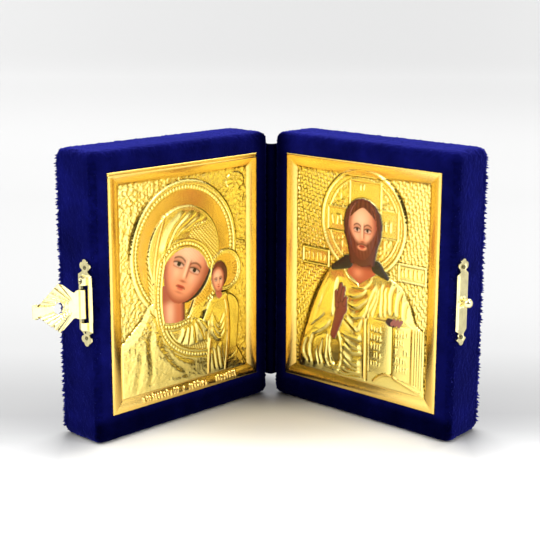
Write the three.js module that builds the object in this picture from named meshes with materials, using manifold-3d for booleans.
// A small travel diptych icon: two velvet covered panels joined by a cloth fold, each with a
// stamped gilt icon plate let into its face, and a shell shaped clasp that closes over a ball knob.
// Millimetres, +Z up. The open side faces -Y, and the fold runs along Z at the back of the valley.
import * as THREE from "three";
import { RoundedBoxGeometry } from "three/addons/geometries/RoundedBoxGeometry.js";
import { mergeVertices } from "three/addons/utils/BufferGeometryUtils.js";
import Module from "manifold-3d";

const wasm = await Module();
wasm.setup();

// Driving dimensions of the panels and of the fold
const PANEL_WIDTH = 71.5;
const PANEL_HEIGHT = 87;
const PANEL_DEPTH = 18;
const EDGE_RADIUS = 2.6;
const OPENING_DEG = 91; // between the two faces, as the diptych stands
const AXIS_TO_SIDE = 0.35; // fold axis to the inner side of a panel
const AXIS_TO_FACE = 0.6; // fold axis to the face of a panel, so the closed faces keep apart
const FOLD_FOOT = 6.4; // the fold cloth stops short of the foot
const FOLD_HEAD = 4; // and short of the top
const PIECE_GAP = 0.3; // clearance between a piece and the one it seats in or turns on
const TRIM_GAP = 0.1; // clearance under the small brass trim

// Icon plate
const PLATE_ABOVE_FOOT = 8.3; // velvet margins round the plate
const PLATE_BELOW_TOP = 6.2;
const PLATE_FROM_FOLD = 5.9; // from the inner side of the panel
const PLATE_FROM_OUTSIDE = 5.6;
const PLATE_PROUD = 0.45; // rim above the velvet
const PLATE_SUNK = 1.7; // back of the plate below the velvet
const RIM_WIDTH = 1.1;
const FRAME_WIDTH = 4.1;
const FRAME_DROP = 0.95; // from the rim down to the ground of the picture
const RELIEF_RISE = 0.85; // highest carving above that ground
const CELLS_ACROSS = 33;
const CELLS_UP = 40;

// Clasp and knob on the outer sides
const TRIM_HEIGHT = 43.3; // middle of the brass plates above the foot
const TRIM_FROM_FACE = 3.3; // middle of the brass plates behind the panel's face
const TRIM_LENGTH = 26;
const TRIM_THICKNESS = 0.7;
const CLASP_WIDTH = 6.2;
const KNOB_PLATE_WIDTH = 5.4;
const TRIM_BODY = 8.3; // half length of the broad middle
const TRIM_NECK = 1.3; // half width where the middle meets an end lobe
const TRIM_LOBE = 2.3; // half width of an end lobe
const NAIL_FROM_TIP = 2.5;
const NAIL_HEAD_RADIUS = 0.65;
const NAIL_HEAD_RISE = 0.4;
const NAIL_RADIUS = 0.35;
const NAIL_LENGTH = 5;
const BARREL_RADIUS = 1.15;
const BARREL_HALF = 4.6;
const BARREL_OUT = 1.8; // barrel axis from the side of the panel
const KNUCKLE_HALF = 8;
const KNUCKLE_START = 5.6;
const PIN_RADIUS = 0.4;
const PIN_HALF = 7.4;
const FLAP_THICKNESS = 0.5;
const FLAP_OPEN_DEG = 84; // from lying back along the side
const FLAP_NECK_HALF = 3.8;
const FLAP_NECK_AT = 3.1;
const FLAP_FAN_HALF = 7.3;
const FLAP_FAN_AT = 7.3;
const FLAP_LIP_HALF = 1.65;
const FLAP_LIP_AT = 14;
const FLAP_LENGTH = 16.2;
const LIP_RADIUS = 0.65;
const SCALLOPS = 5; // along each slanting edge of the fan
const SCALLOP_DEPTH = 0.55;
const FLUTE_RADIUS = 0.4;
const KNOB_RADIUS = 1.45;
const KNOB_STEM_RADIUS = 0.6;
const KNOB_STEM_LENGTH = 5;
const KNOB_BOSS_RADIUS = 1.7;
const KNOB_BOSS_RISE = 0.2;
const FLAP_HOLE_CLEARANCE = 0.35;

// Values that follow from them
const PLATE_WIDTH = PANEL_WIDTH - PLATE_FROM_FOLD - PLATE_FROM_OUTSIDE;
const PLATE_HEIGHT = PANEL_HEIGHT - PLATE_ABOVE_FOOT - PLATE_BELOW_TOP;
const HALF_OPENING = THREE.MathUtils.degToRad(OPENING_DEG / 2);
const BORE_RADIUS = PIN_RADIUS + PIECE_GAP;
const KNOB_REACH = 2 * (AXIS_TO_FACE + TRIM_FROM_FACE); // barrel axis to knob, when closed
const FLAP_HOLE_RADIUS = KNOB_RADIUS + FLAP_HOLE_CLEARANCE;
const FOLD_RADIUS =
  Math.hypot(AXIS_TO_SIDE + EDGE_RADIUS, AXIS_TO_FACE + EDGE_RADIUS) - EDGE_RADIUS - PIECE_GAP;
const NAIL_HEIGHT = TRIM_LENGTH / 2 - NAIL_FROM_TIP;
const CUT_OVERRUN = 1; // how far a cutting shape runs past what it cuts

// Materials
const velvet = new THREE.MeshStandardMaterial({ color: 0x0b0b52, roughness: 0.95 });
const foldVelvet = new THREE.MeshStandardMaterial({ color: 0x08083a, roughness: 0.95 });
const gilt = new THREE.MeshStandardMaterial({ color: 0xe0aa38, roughness: 0.3, metalness: 1 });
const brass = new THREE.MeshStandardMaterial({ color: 0xefe08e, roughness: 0.25, metalness: 1 });

// Solids from geometries, and back
function solid(geometry) {
  const bare = geometry.clone();
  bare.deleteAttribute("normal");
  bare.deleteAttribute("uv");
  const merged = mergeVertices(bare, 1e-4);
  return new wasm.Manifold(
    new wasm.Mesh({
      numProp: 3,
      vertProperties: new Float32Array(merged.attributes.position.array),
      triVerts: new Uint32Array(merged.index.array),
    }),
  );
}

function geometryOf(body) {
  const made = body.getMesh();
  const geometry = new THREE.BufferGeometry();
  geometry.setAttribute("position", new THREE.BufferAttribute(made.vertProperties, 3));
  geometry.setIndex(new THREE.BufferAttribute(made.triVerts, 1));
  return geometry;
}

function piece(name, body, material) {
  const mesh = new THREE.Mesh(geometryOf(body), material.clone());
  mesh.name = name;
  return mesh;
}

// A round bar along Z, or along X for what points out of a panel's side
function barAlongZ(radius, low, high, sides) {
  const bar = new THREE.CylinderGeometry(radius, radius, high - low, sides);
  return bar.rotateX(Math.PI / 2).translate(0, 0, (low + high) / 2);
}

function barAlongX(radius, low, high, sides) {
  const bar = new THREE.CylinderGeometry(radius, radius, high - low, sides);
  return bar.rotateZ(Math.PI / 2).translate((low + high) / 2, 0, 0);
}

// A lathe profile of [radius, distance out] points, turned to point along X
function turnedAlongX(profile, sides) {
  const points = profile.map(([radius, out]) => new THREE.Vector2(radius, out));
  return new THREE.LatheGeometry(points, sides).rotateZ(-Math.PI / 2);
}

// Carving: heights in shares of the relief's rise, drawn on a sheet of the plate's proportions
const SHEET_WIDTH = 60;
const SHEET_HEIGHT = 72.5;

const soft = (from, to, x) => THREE.MathUtils.smoothstep(x, from, to);
const mound = (reach) => Math.sqrt(Math.max(0, 1 - reach * reach));

// How far (u, v) is from the middle of a tilted oval, 1 on its outline
function oval(u, v, cu, cv, ru, rv, tiltDeg = 0) {
  const tilt = THREE.MathUtils.degToRad(tiltDeg);
  const across = (u - cu) * Math.cos(tilt) + (v - cv) * Math.sin(tilt);
  const along = (v - cv) * Math.cos(tilt) - (u - cu) * Math.sin(tilt);
  return Math.hypot(across / ru, along / rv);
}

// The same for a tapering limb or fold that runs from (u0, v0) to (u1, v1)
function limb(u, v, u0, v0, u1, v1, r0, r1) {
  const length2 = (u1 - u0) ** 2 + (v1 - v0) ** 2;
  const along = ((u - u0) * (u1 - u0) + (v - v0) * (v1 - v0)) / length2;
  const t = THREE.MathUtils.clamp(along, 0, 1);
  const away = Math.hypot(u - u0 - t * (u1 - u0), v - v0 - t * (v1 - v0));
  return away / (r0 + t * (r1 - r0));
}

const raised = (reach, base, crown) => (reach < 1 ? base + crown * mound(reach) : 0);
const panelOn = (u, v, left, right, low, high) => u > left && u < right && v > low && v < high;

function halo(u, v, cu, cv, radius, band) {
  const away = Math.hypot(u - cu, v - cv);
  const inBand = (away - radius + band) / band;
  if (away > radius) return 0;
  return inBand > 0 ? 0.25 + 0.3 * Math.sin(Math.PI * inBand) : 0.18;
}

// The veiled mother inclines her head towards the child, who stands at her side
function motherAndChild(u, v) {
  const ground = 0.04 * Math.cos(2.2 * u) * Math.cos(2.2 * v);
  const heights = [ground, halo(u, v, 29.6, 45.6, 21.6, 2.7)];
  const veil = oval(u, v, 29.2, 44.5, 14.6, 14.8);
  const swirl = Math.atan2(v - 36, u - 45);
  heights.push(raised(veil, 0.35, 0.4) && raised(veil, 0.35, 0.4) + 0.07 * Math.cos(15 * swirl));
  const shoulder = 20 + 0.95 * Math.min(u - 4, 13) - 0.5 * Math.max(0, u - 30);
  if (v < shoulder) {
    const sweep = Math.hypot(u - 44, v - 42);
    const rolled = 0.45 + 0.12 * Math.cos(1.25 * sweep) + 0.2 * soft(0, 6, shoulder - v);
    heights.push(rolled);
  }
  const column = limb(u, v, 24, 40, 26, 22, 9.5, 10.5);
  heights.push(raised(column, 0.3, 0.35));
  const hem = Math.abs(Math.hypot(u - 43, (v - 37) * 0.92) - 23.5);
  if (hem < 1.6 && v < 36 && u < 42) heights.push(0.85 - 0.2 * (hem / 1.6) ** 2);
  let height = Math.max(...heights);
  const face = oval(u, v, 28.8, 38.6, 8, 10.2, -24);
  if (face < 1.14) height = face < 1 ? 0.5 + 0.3 * mound(face) : 0.8;
  const neck = limb(u, v, 26.2, 31, 24.8, 25.5, 4.4, 4.6);
  if (neck < 1 && face >= 1) height = 0.4 + 0.2 * mound(neck);
  height = Math.max(height, halo(u, v, 46.2, 36.6, 6.6, 1.3) + (childHalo(u, v) ? 0.35 : 0));
  const childBody = limb(u, v, 45, 23, 44, 4, 6.4, 6.8);
  if (childBody < 1) height = 0.6 + 0.3 * mound(childBody) + 0.07 * Math.cos(2.1 * (u - 0.2 * v));
  const childHead = oval(u, v, 43.5, 34.6, 3.7, 5);
  if (childHead < 1) height = 0.65 + 0.35 * mound(childHead);
  for (const cu of [7.6, 51]) height = Math.max(height, raised(oval(u, v, cu, 64.6, 3.6, 3.2), 0.3, 0.2));
  return height;
}

const childHalo = (u, v) => Math.hypot(u - 46.2, v - 36.6) < 6.6;

// The bearded teacher raises one hand and holds an open book
function teacherWithBook(u, v) {
  const ground = 0.05 * Math.cos(2 * (u + v)) * Math.cos(2 * (u - v));
  let height = Math.max(ground, halo(u, v, 31, 54, 16.6, 2.4));
  if (Math.hypot(u - 31, v - 54) < 13.8) {
    const crossArm = panelOn(u, v, 26.4, 36.6, 54, 67.5) || panelOn(u, v, 17.4, 44.4, 50.3, 58);
    if (crossArm) height = 0.34;
  }
  for (const left of [6.8, 44.8])
    if (panelOn(u, v, left, left + 10.4, 38.4, 43.6)) height = Math.max(height, 0.36);
  const leftEdge = 18.5 - 0.46 * (38.5 - v);
  const rightEdge = 42 + 0.75 * Math.min(38.5 - v, 15);
  const top = 39.5 - 0.1 * Math.abs(u - 31);
  if (u > leftEdge && u < rightEdge && v < top) {
    const rim = Math.min(u - leftEdge, rightEdge - u, top - v);
    const sweep = Math.hypot(u - 46, v - 46);
    height = 0.35 + 0.3 * soft(0, 6, rim) + 0.1 * Math.cos(1.15 * sweep);
  }
  const sleeve = oval(u, v, 15, 12, 9.5, 7.5, -20);
  if (sleeve < 1) height = 0.55 + 0.25 * mound(sleeve) + 0.1 * Math.cos(1.9 * u + 0.8 * v);
  const hair = Math.min(oval(u, v, 31, 52.5, 7.5, 8.8), limb(u, v, 31, 50, 31, 41, 7, 5.4));
  if (hair < 1) height = 0.55 + 0.25 * mound(hair);
  const face = oval(u, v, 31, 50.5, 5.2, 8.4);
  if (face < 1) height = 0.65 + 0.35 * mound(face);
  const palm = oval(u, v, 23.4, 27.4, 2.6, 3.6);
  const fingers = limb(u, v, 22.4, 29, 23.6, 33.6, 1.5, 1);
  const wrist = limb(u, v, 23, 26, 20, 17, 2, 1.6);
  const hand = Math.min(palm, fingers, wrist);
  if (hand < 1) height = 0.75 + 0.2 * mound(hand);
  if (panelOn(u, v, 33.6, 54.6, 6.8, 24.6)) {
    const page = u < 43.4 ? (u - 33.6) / 9.8 : (u - 43.4) / 8;
    height = u > 51.4 ? 0.6 : 0.7 + 0.25 * Math.sin(Math.PI * page);
  }
  height = Math.max(height, raised(oval(u, v, 44.6, 25, 3.4, 1.4), 0.8, 0.2));
  return Math.max(height, raised(oval(u, v, 44.5, 4, 8, 4), 0.5, 0.1));
}

// Grid lines over one side of the plate: the rim, the sloping frame, then even cells
function gridLines(length, cells) {
  const lines = [0, RIM_WIDTH];
  const inner = length - 2 * FRAME_WIDTH;
  for (let i = 0; i <= cells; i += 1) lines.push(FRAME_WIDTH + (inner * i) / cells);
  return [...lines, length - RIM_WIDTH, length];
}

// How far in front of the back of the plate its stamped surface stands
function plateRise(across, up, figures) {
  const inward = Math.min(across, up, PLATE_WIDTH - across, PLATE_HEIGHT - up);
  const slope = (inward - RIM_WIDTH) / (FRAME_WIDTH - RIM_WIDTH);
  const drop = FRAME_DROP * THREE.MathUtils.clamp(slope, 0, 1);
  const u = (across / PLATE_WIDTH) * SHEET_WIDTH;
  const v = (up / PLATE_HEIGHT) * SHEET_HEIGHT;
  const carved = slope >= 1 ? RELIEF_RISE * figures(u, v) : 0;
  return PLATE_SUNK + PLATE_PROUD - drop + carved;
}

// A stamped plate: its low left corner at the origin, its back on y = 0, its face towards -Y
function stampedPlate(figures) {
  const xs = gridLines(PLATE_WIDTH, CELLS_ACROSS);
  const zs = gridLines(PLATE_HEIGHT, CELLS_UP);
  const positions = [];
  const faces = [];
  for (const z of zs) for (const x of xs) positions.push(x, -plateRise(x, z, figures), z);
  const at = (i, j) => j * xs.length + i;
  const lastX = xs.length - 1;
  const lastZ = zs.length - 1;
  for (let j = 0; j < lastZ; j += 1)
    for (let i = 0; i < lastX; i += 1) {
      const [a, b, c, d] = [at(i, j), at(i + 1, j), at(i + 1, j + 1), at(i, j + 1)];
      const mitreRises = i < lastX / 2 === j < lastZ / 2;
      if (mitreRises) faces.push(a, b, c, a, c, d);
      else faces.push(a, b, d, b, c, d);
    }
  const first = positions.length / 3;
  const corners = [[0, 0], [PLATE_WIDTH, 0], [PLATE_WIDTH, PLATE_HEIGHT], [0, PLATE_HEIGHT]];
  for (const [x, z] of corners) positions.push(x, 0, z);
  const rims = [
    xs.map((_, i) => at(i, 0)),
    zs.map((_, j) => at(lastX, j)),
    xs.map((_, i) => at(lastX - i, lastZ)),
    zs.map((_, j) => at(0, lastZ - j)),
  ];
  rims.forEach((rim, side) => {
    const here = first + side;
    const next = first + ((side + 1) % rims.length);
    for (let k = 1; k < rim.length; k += 1) faces.push(here, rim[k], rim[k - 1]);
    faces.push(here, next, rim[rim.length - 1]);
  });
  faces.push(first, first + 2, first + 1, first, first + 3, first + 2);
  const geometry = new THREE.BufferGeometry();
  geometry.setAttribute("position", new THREE.Float32BufferAttribute(positions, 3));
  geometry.setIndex(faces);
  return geometry;
}

// Outline of a brass side plate: a broad middle, necks, and pointed three lobed ends
function trimOutline(width) {
  const half = width / 2;
  const tip = TRIM_LENGTH / 2;
  const lobe = (TRIM_BODY + 2 * tip) / 3;
  const neck = (2 * TRIM_BODY + tip) / 3;
  const outline = new THREE.Shape();
  outline.moveTo(0, -tip);
  for (const [side, up] of [[1, -1], [1, 1], [-1, 1], [-1, -1]]) {
    const toMiddle = side * up < 0;
    const stops = [
      [TRIM_LOBE * 0.45, tip * 0.965, TRIM_LOBE, lobe],
      [TRIM_LOBE, neck * 1.03, TRIM_NECK, neck],
      [half * 0.8, neck, half, TRIM_BODY],
    ];
    if (toMiddle)
      for (const [cx, cy, x, y] of stops) outline.quadraticCurveTo(side * cx, up * cy, side * x, up * y);
    else {
      outline.lineTo(side * half, up * TRIM_BODY);
      outline.quadraticCurveTo(side * stops[2][0], up * stops[2][1], side * TRIM_NECK, up * neck);
      outline.quadraticCurveTo(side * stops[1][0], up * stops[1][1], side * TRIM_LOBE, up * lobe);
      outline.quadraticCurveTo(side * stops[0][0], up * stops[0][1], 0, up * tip);
    }
  }
  return outline;
}

// A shape drawn across (Y) and up (Z), given its thickness along X
function extrudedAlongX(shape, thickness, low) {
  const plate = new THREE.ExtrudeGeometry(shape, { depth: thickness, bevelEnabled: false, curveSegments: 3 });
  const basis = new THREE.Matrix4().makeBasis(
    new THREE.Vector3(0, 1, 0),
    new THREE.Vector3(0, 0, 1),
    new THREE.Vector3(1, 0, 0),
  );
  return plate.applyMatrix4(basis).translate(low, 0, 0);
}

// A side plate with its nail holes, its back just off the velvet
function trimPlate(width) {
  let body = solid(extrudedAlongX(trimOutline(width), TRIM_THICKNESS, TRIM_GAP));
  for (const height of [-NAIL_HEIGHT, NAIL_HEIGHT]) {
    const hole = barAlongX(NAIL_RADIUS + TRIM_GAP, -CUT_OVERRUN, TRIM_THICKNESS + CUT_OVERRUN, 10);
    body = body.subtract(solid(hole.translate(0, 0, height)));
  }
  return body;
}

function claspPlate() {
  let body = trimPlate(CLASP_WIDTH);
  for (const side of [-1, 1]) {
    const [low, high] = [side * KNUCKLE_START, side * KNUCKLE_HALF].sort((a, b) => a - b);
    const knuckle = barAlongZ(BARREL_RADIUS, low, high, 14).translate(BARREL_OUT, 0, 0);
    const seat = new THREE.BoxGeometry(BARREL_OUT - TRIM_GAP, 2 * BARREL_RADIUS, high - low);
    seat.translate((BARREL_OUT + TRIM_GAP) / 2, 0, (low + high) / 2);
    body = body.add(solid(knuckle)).add(solid(seat));
  }
  const windowHalf = BARREL_RADIUS + PIECE_GAP;
  const window = new THREE.BoxGeometry(4 * BARREL_OUT, 2 * windowHalf, 2 * KNUCKLE_START);
  const bore = barAlongZ(BORE_RADIUS, -KNUCKLE_HALF - CUT_OVERRUN, KNUCKLE_HALF + CUT_OVERRUN, 12);
  return body.subtract(solid(window)).subtract(solid(bore.translate(BARREL_OUT, 0, 0)));
}

function knobPlate() {
  const outside = TRIM_GAP + TRIM_THICKNESS;
  const boss = barAlongX(KNOB_BOSS_RADIUS, TRIM_GAP, outside + KNOB_BOSS_RISE, 16);
  const stemHole = barAlongX(KNOB_STEM_RADIUS + TRIM_GAP, -CUT_OVERRUN, outside + CUT_OVERRUN, 12);
  return trimPlate(KNOB_PLATE_WIDTH).add(solid(boss)).subtract(solid(stemHole));
}

// A domed nail whose shank goes through the plate into the panel
function nail() {
  const seat = TRIM_GAP + TRIM_THICKNESS + TRIM_GAP;
  const profile = [
    [0, seat - NAIL_LENGTH],
    [NAIL_RADIUS, seat - NAIL_LENGTH],
    [NAIL_RADIUS, seat],
    [NAIL_HEAD_RADIUS, seat],
    [NAIL_HEAD_RADIUS * 0.8, seat + NAIL_HEAD_RISE * 0.7],
    [0, seat + NAIL_HEAD_RISE],
  ];
  return solid(turnedAlongX(profile, 10));
}

// The ball knob on its stem
function ballKnob() {
  const seat = TRIM_GAP + TRIM_THICKNESS + KNOB_BOSS_RISE + TRIM_GAP;
  const profile = [
    [0, seat - KNOB_STEM_LENGTH],
    [KNOB_STEM_RADIUS, seat - KNOB_STEM_LENGTH],
  ];
  const neck = Math.asin(KNOB_STEM_RADIUS / KNOB_RADIUS);
  const steps = 8;
  for (let i = 0; i < steps; i += 1) {
    const turn = neck + ((Math.PI - neck) * i) / steps;
    profile.push([KNOB_RADIUS * Math.sin(turn), seat + KNOB_RADIUS * (1 - Math.cos(turn))]);
  }
  profile.push([0, seat + 2 * KNOB_RADIUS]);
  return solid(turnedAlongX(profile, 14));
}

// Middle of each scallop along the slanting edges of the fan, as [out, up]
function scallopPoint(side, share) {
  const out = FLAP_FAN_AT + (FLAP_LIP_AT - FLAP_FAN_AT) * share;
  const up = FLAP_FAN_HALF + (FLAP_LIP_HALF - FLAP_FAN_HALF) * share;
  return [out, side * up];
}

// The flap lies in the XZ plane with the barrel's axis on Z, pointing along +X
function flapOutline() {
  const wing = BARREL_HALF - PIECE_GAP;
  const wingAt = FLAP_NECK_AT / 2;
  const outline = new THREE.Shape();
  outline.moveTo(0, -wing);
  outline.lineTo(wingAt, -wing);
  outline.quadraticCurveTo(wingAt, -FLAP_NECK_HALF, FLAP_NECK_AT, -FLAP_NECK_HALF);
  outline.lineTo(FLAP_FAN_AT, -FLAP_FAN_HALF);
  const lean = SCALLOP_DEPTH * Math.SQRT1_2;
  for (let i = 0; i < SCALLOPS; i += 1) {
    const [mx, my] = scallopPoint(-1, (i + 0.5) / SCALLOPS);
    const [x, y] = scallopPoint(-1, (i + 1) / SCALLOPS);
    outline.quadraticCurveTo(mx + lean, my - lean, x, y);
  }
  outline.lineTo(FLAP_LENGTH - LIP_RADIUS, -FLAP_LIP_HALF);
  outline.lineTo(FLAP_LENGTH - LIP_RADIUS, FLAP_LIP_HALF);
  outline.lineTo(...scallopPoint(1, 1));
  for (let i = SCALLOPS - 1; i >= 0; i -= 1) {
    const [mx, my] = scallopPoint(1, (i + 0.5) / SCALLOPS);
    const [x, y] = scallopPoint(1, i / SCALLOPS);
    outline.quadraticCurveTo(mx + lean, my + lean, x, y);
  }
  outline.lineTo(FLAP_NECK_AT, FLAP_NECK_HALF);
  outline.quadraticCurveTo(wingAt, FLAP_NECK_HALF, wingAt, wing);
  outline.lineTo(0, wing);
  return outline;
}

// One flute from the neck to the middle of a scallop
function flute(side, share) {
  const [x1, z1] = scallopPoint(side, share);
  const x0 = FLAP_NECK_AT;
  const z0 = side * FLAP_NECK_HALF * (1 - share) * 0.85;
  const length = Math.hypot(x1 - x0, z1 - z0);
  const bar = new THREE.CylinderGeometry(FLUTE_RADIUS, FLUTE_RADIUS * 0.7, length, 6);
  bar.rotateZ(-Math.PI / 2).rotateY(-Math.atan2(z1 - z0, x1 - x0));
  return bar.translate((x0 + x1) / 2, 0, (z0 + z1) / 2);
}

function claspFlap() {
  const sheet = new THREE.ExtrudeGeometry(flapOutline(), {
    depth: FLAP_THICKNESS,
    bevelEnabled: false,
    curveSegments: 3,
  });
  sheet.rotateX(Math.PI / 2).translate(0, FLAP_THICKNESS / 2, 0);
  const wing = BARREL_HALF - PIECE_GAP;
  let body = solid(sheet).add(solid(barAlongZ(BARREL_RADIUS, -wing, wing, 14)));
  for (const side of [-1, 1])
    for (let i = 0; i < SCALLOPS; i += 1) body = body.add(solid(flute(side, (i + 0.5) / SCALLOPS)));
  const lip = barAlongZ(LIP_RADIUS, -FLAP_LIP_HALF, FLAP_LIP_HALF, 10);
  body = body.add(solid(lip.translate(FLAP_LENGTH - LIP_RADIUS, 0, 0)));
  const hole = new THREE.CylinderGeometry(FLAP_HOLE_RADIUS, FLAP_HOLE_RADIUS, 4 * BARREL_RADIUS, 20);
  body = body.subtract(solid(hole.translate(KNOB_REACH, 0, 0)));
  return body.subtract(solid(barAlongZ(BORE_RADIUS, -BARREL_HALF, BARREL_HALF, 12)));
}

// A velvet panel in its leaf's frame, with the plate's pocket and the holes of the trim's shanks
function velvetPanel(side, shanks) {
  const middle = side * (AXIS_TO_SIDE + PANEL_WIDTH / 2);
  const block = new RoundedBoxGeometry(PANEL_WIDTH, PANEL_DEPTH, PANEL_HEIGHT, 2, EDGE_RADIUS);
  block.translate(middle, AXIS_TO_FACE + PANEL_DEPTH / 2, PANEL_HEIGHT / 2);
  const pocketDepth = PLATE_SUNK + PIECE_GAP;
  const pocket = new THREE.BoxGeometry(
    PLATE_WIDTH + 2 * PIECE_GAP,
    pocketDepth + CUT_OVERRUN,
    PLATE_HEIGHT + 2 * PIECE_GAP,
  );
  pocket.translate(
    side * (AXIS_TO_SIDE + PLATE_FROM_FOLD + PLATE_WIDTH / 2),
    AXIS_TO_FACE + (pocketDepth - CUT_OVERRUN) / 2,
    PLATE_ABOVE_FOOT + PLATE_HEIGHT / 2,
  );
  let body = solid(block).subtract(solid(pocket));
  for (const [radius, depth, height] of shanks) {
    const hole = barAlongX(radius + PIECE_GAP, -depth - PIECE_GAP, CUT_OVERRUN, 10);
    if (side < 0) hole.rotateZ(Math.PI);
    hole.translate(side * (AXIS_TO_SIDE + PANEL_WIDTH), AXIS_TO_FACE + TRIM_FROM_FACE, TRIM_HEIGHT + height);
    body = body.subtract(solid(hole));
  }
  return body;
}

// One leaf: its face looks along -Y, its back along +Y, and it turns about the fold axis
function leaf(side, name, figures, shanks) {
  const group = new THREE.Group();
  group.rotation.z = side * (HALF_OPENING - Math.PI / 2);
  group.add(piece(`${name}_velvet_panel`, velvetPanel(side, shanks), velvet));
  const plate = new THREE.Group();
  const left = side > 0 ? PLATE_FROM_FOLD : -PLATE_FROM_FOLD - PLATE_WIDTH;
  plate.position.set(side * AXIS_TO_SIDE + left, AXIS_TO_FACE + PLATE_SUNK, PLATE_ABOVE_FOOT);
  plate.add(piece(`${name}_icon_plate`, solid(stampedPlate(figures)), gilt));
  group.add(plate);
  return group;
}

// Where the brass trim sits on a leaf's outer side: +X points out of the side there
function trimSeat(side) {
  const seat = new THREE.Group();
  seat.position.set(side * (AXIS_TO_SIDE + PANEL_WIDTH), AXIS_TO_FACE + TRIM_FROM_FACE, TRIM_HEIGHT);
  seat.rotation.z = side > 0 ? 0 : Math.PI;
  return seat;
}

function addNails(seat, name) {
  for (const [place, height] of [["upper", NAIL_HEIGHT], ["lower", -NAIL_HEIGHT]]) {
    const mesh = piece(`${name}_${place}_nail`, nail(), brass);
    mesh.position.z = height;
    seat.add(mesh);
  }
}

const nailShanks = [-NAIL_HEIGHT, NAIL_HEIGHT].map((height) => [NAIL_RADIUS, NAIL_LENGTH, height]);
const knobShank = [KNOB_STEM_RADIUS, KNOB_STEM_LENGTH, 0];

const leftLeaf = leaf(-1, "left", motherAndChild, nailShanks);
const rightLeaf = leaf(1, "right", teacherWithBook, [...nailShanks, knobShank]);

const foldTop = PANEL_HEIGHT - FOLD_HEAD;
const fold = piece("fold_cloth", solid(barAlongZ(FOLD_RADIUS, FOLD_FOOT, foldTop, 12)), foldVelvet);

const claspSeat = trimSeat(-1);
claspSeat.add(piece("clasp_plate", claspPlate(), brass));
const pin = piece("clasp_pin", solid(barAlongZ(PIN_RADIUS, -PIN_HALF, PIN_HALF, 10)), brass);
pin.position.x = BARREL_OUT;
claspSeat.add(pin);
addNails(claspSeat, "clasp");
const flap = piece("clasp_flap", claspFlap(), brass);
flap.position.x = BARREL_OUT;
flap.rotation.z = THREE.MathUtils.degToRad(FLAP_OPEN_DEG - 90);
claspSeat.add(flap);
leftLeaf.add(claspSeat);

const knobSeat = trimSeat(1);
knobSeat.add(piece("knob_plate", knobPlate(), brass));
knobSeat.add(piece("ball_knob", ballKnob(), brass));
addNails(knobSeat, "knob_plate");
rightLeaf.add(knobSeat);

const diptych = new THREE.Group();
diptych.add(leftLeaf, rightLeaf, fold);
diptych.updateMatrixWorld(true);

// The origin is the middle of the foot of the whole diptych
const reach = new THREE.Box3().setFromObject(diptych, true);
const middle = reach.getCenter(new THREE.Vector3());
diptych.position.set(-middle.x, -middle.y, -reach.min.z);

export default diptych;
